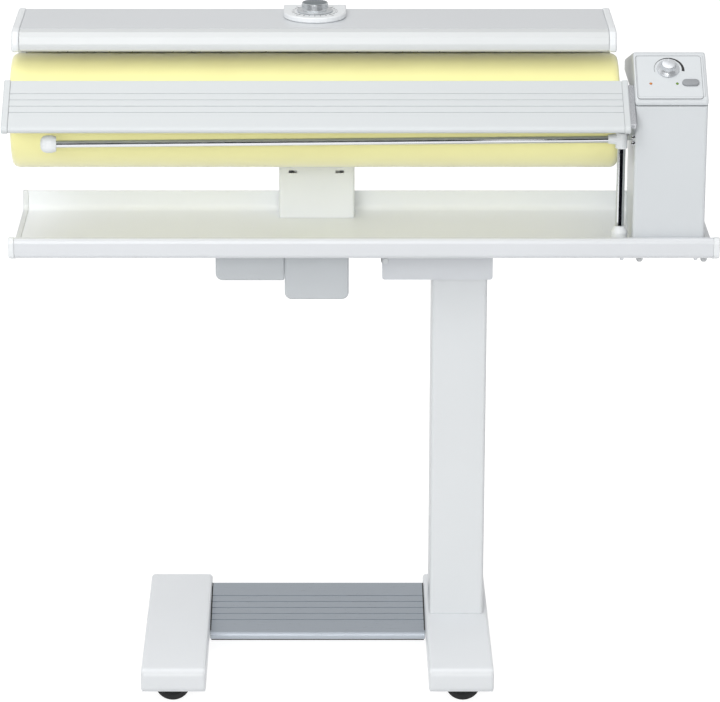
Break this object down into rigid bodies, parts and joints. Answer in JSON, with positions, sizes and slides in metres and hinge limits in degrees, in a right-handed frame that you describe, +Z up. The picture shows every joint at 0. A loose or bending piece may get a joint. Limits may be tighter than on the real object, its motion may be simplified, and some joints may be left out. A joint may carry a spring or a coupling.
{
  "type": "flatwork ironer",
  "caption": "Rotary flatwork ironer with a cloth-covered roller, lowering heated shoe, feed board, laundry tray and folding pedestal on casters.",
  "frame": {"origin": "on the floor, under the middle of the machine", "axes": "+Z up, +X towards the control side, -Y towards the operator"},
  "size_m": [0.99, 0.385, 0.9798],
  "materials": {
    "white": "satin white enamel",
    "white_plastic": "satin white moulded plastic",
    "silver_cover": "satin silver-grey paint",
    "grey_plastic": "fine-grained light grey plastic",
    "dark_plastic": "black plastic",
    "cast_aluminium": "satin",
    "anodised": "blue-grey anodised, brushed lengthwise",
    "steel": "zinc-plated",
    "chrome": "polished",
    "cloth": "pale yellow cotton over padding",
    "rubber": "matt",
    "orange_lens": "clear orange",
    "green_lens": "clear green"
  },
  "bodies": {
    "base": {"left_foot": "white", "right_foot": "white", "base_crossmember": "steel", "treadle_switch": "dark_plastic", "column": "white", "pivot_bracket": "grey_plastic", "fold_pivot_pin": "chrome"},
    "treadle": {"foot_treadle": "anodised"},
    "fold_lock": {"fold_lock_pin": "dark_plastic"},
    "unit": {"laundry_tray": "white", "tray_end_cap_left": "white_plastic", "tray_end_cap_right": "white_plastic", "unit_carrier": "steel", "lift_motor_cover": "grey_plastic", "lift_gear_cover": "grey_plastic", "lift_gearmotor": "steel", "rear_arm_cover": "grey_plastic", "feed_board": "white", "feed_board_cap_left": "white_plastic", "feed_board_cap_right": "white_plastic", "feed_board_bracket": "steel", "rail_post": "chrome", "rail_socket": "white_plastic", "drive_housing": "white", "control_head": "white", "control_panel": "silver_cover", "heat_lamp": "orange_lens", "ready_lamp": "green_lens", "bearing_block": "steel", "drive_motor": "steel", "drive_belt": "rubber"},
    "lift_crank": {"lift_crank": "steel"},
    "shoe": {"heater_shoe": "cast_aluminium", "shoe_arm": "cast_aluminium", "shoe_cover": "silver_cover", "cover_cap_left": "white_plastic", "cover_cap_right": "white_plastic", "dial_plate": "white_plastic", "thermostat": "dark_plastic"},
    "finger_guard": {"finger_guard": "white"},
    "temperature_knob": {"temperature_knob": "chrome"},
    "roller": {"roller_drum": "cast_aluminium", "roller_cloth": "cloth", "roller_pulley": "cast_aluminium"},
    "motor_pulley": {"motor_pulley": "steel"},
    "speed_knob": {"speed_knob": "grey_plastic"},
    "power_button": {"power_button": "grey_plastic"},
    "rail": {"rail_bar": "chrome", "rail_tee": "white_plastic", "rail_end_cap": "white_plastic"},
    "front_left_fork": {"front_left_caster_fork": "dark_plastic"},
    "front_left_wheel": {"front_left_caster_wheel": "rubber"},
    "rear_left_fork": {"rear_left_caster_fork": "dark_plastic"},
    "rear_left_wheel": {"rear_left_caster_wheel": "rubber"},
    "front_right_fork": {"front_right_caster_fork": "dark_plastic"},
    "front_right_wheel": {"front_right_caster_wheel": "rubber"},
    "rear_right_fork": {"rear_right_caster_fork": "dark_plastic"},
    "rear_right_wheel": {"rear_right_caster_wheel": "rubber"}
  },
  "joints": [
    {"name": "treadle_press", "type": "hinge", "parent": "base", "child": "treadle", "pos_m": [-0.063, 0.1485, 0.048], "axis": [1, 0, 0], "range_deg": [0, 4], "stiffness_Nm_per_rad": 22, "springref_deg": -2.01},
    {"name": "fold_lock_pull", "type": "slide", "parent": "base", "child": "fold_lock", "axis": [0, 0, 1], "range_m": [0, 0.01]},
    {"name": "unit_fold", "type": "hinge", "parent": "base", "child": "unit", "pos_m": [0.035, 0.0675, 0.604], "axis": [0, -1, 0], "range_deg": [0, 90]},
    {"name": "crank_turn", "type": "hinge", "parent": "unit", "child": "lift_crank", "pos_m": [-0.102, 0.0905, 0.605], "axis": [-1, 0, 0], "range_deg": [0, 83.62]},
    {"name": "shoe_lower", "type": "slide", "parent": "unit", "child": "shoe", "axis": [0, 0, -1], "range_m": [0, 0.02]},
    {"name": "finger_guard_swing", "type": "hinge", "parent": "shoe", "child": "finger_guard", "pos_m": [-0.067, -0.0458, 0.957], "axis": [1, 0, 0], "range_deg": [0, 5], "stiffness_Nm_per_rad": 2, "springref_deg": -11.46},
    {"name": "temperature_turn", "type": "hinge", "parent": "shoe", "child": "temperature_knob", "pos_m": [-0.066, 0.027, 0.97], "axis": [0, 0, -1], "range_deg": [0, 270]},
    {"name": "roller_turn", "type": "hinge", "parent": "unit", "child": "roller", "pos_m": [0, -0.0145, 0.834], "axis": [1, 0, 0], "continuous": true},
    {"name": "motor_pulley_turn", "type": "hinge", "parent": "unit", "child": "motor_pulley", "pos_m": [0.437, 0.042, 0.7], "axis": [1, 0, 0], "continuous": true},
    {"name": "speed_turn", "type": "hinge", "parent": "unit", "child": "speed_knob", "pos_m": [0.42175, -0.08277, 0.90969], "axis": [0, 0.5868, -0.8097], "range_deg": [0, 270]},
    {"name": "power_press", "type": "slide", "parent": "unit", "child": "power_button", "axis": [0, 0.5868, -0.8097], "range_m": [0, 0.002], "stiffness_N_per_m": 400, "springref_m": -0.001},
    {"name": "rail_swing", "type": "hinge", "parent": "unit", "child": "rail", "pos_m": [0.358, -0.1085, 0.817], "axis": [0, 0, 1], "range_deg": [-2, 88]},
    {"name": "front_left_caster_swivel", "type": "hinge", "parent": "base", "child": "front_left_fork", "pos_m": [-0.262, -0.1535, 0.05], "axis": [0, 0, 1], "continuous": true},
    {"name": "front_left_wheel_roll", "type": "hinge", "parent": "front_left_fork", "child": "front_left_wheel", "pos_m": [-0.27, -0.1535, 0.025], "axis": [0, 1, 0], "continuous": true},
    {"name": "rear_left_caster_swivel", "type": "hinge", "parent": "base", "child": "rear_left_fork", "pos_m": [-0.262, 0.1535, 0.05], "axis": [0, 0, 1], "continuous": true},
    {"name": "rear_left_wheel_roll", "type": "hinge", "parent": "rear_left_fork", "child": "rear_left_wheel", "pos_m": [-0.27, 0.1535, 0.025], "axis": [0, 1, 0], "continuous": true},
    {"name": "front_right_caster_swivel", "type": "hinge", "parent": "base", "child": "front_right_fork", "pos_m": [0.138, -0.1535, 0.05], "axis": [0, 0, 1], "continuous": true},
    {"name": "front_right_wheel_roll", "type": "hinge", "parent": "front_right_fork", "child": "front_right_wheel", "pos_m": [0.146, -0.1535, 0.025], "axis": [0, 1, 0], "continuous": true},
    {"name": "rear_right_caster_swivel", "type": "hinge", "parent": "base", "child": "rear_right_fork", "pos_m": [0.138, 0.1535, 0.05], "axis": [0, 0, 1], "continuous": true},
    {"name": "rear_right_wheel_roll", "type": "hinge", "parent": "rear_right_fork", "child": "rear_right_wheel", "pos_m": [0.146, 0.1535, 0.025], "axis": [0, 1, 0], "continuous": true}
  ],
  "couplings": [
    {"joint": "crank_turn", "follows": "shoe_lower", "rad_per_m": 72.97},
    {"joint": "motor_pulley_turn", "follows": "roller_turn", "ratio": 3.1667}
  ]
}
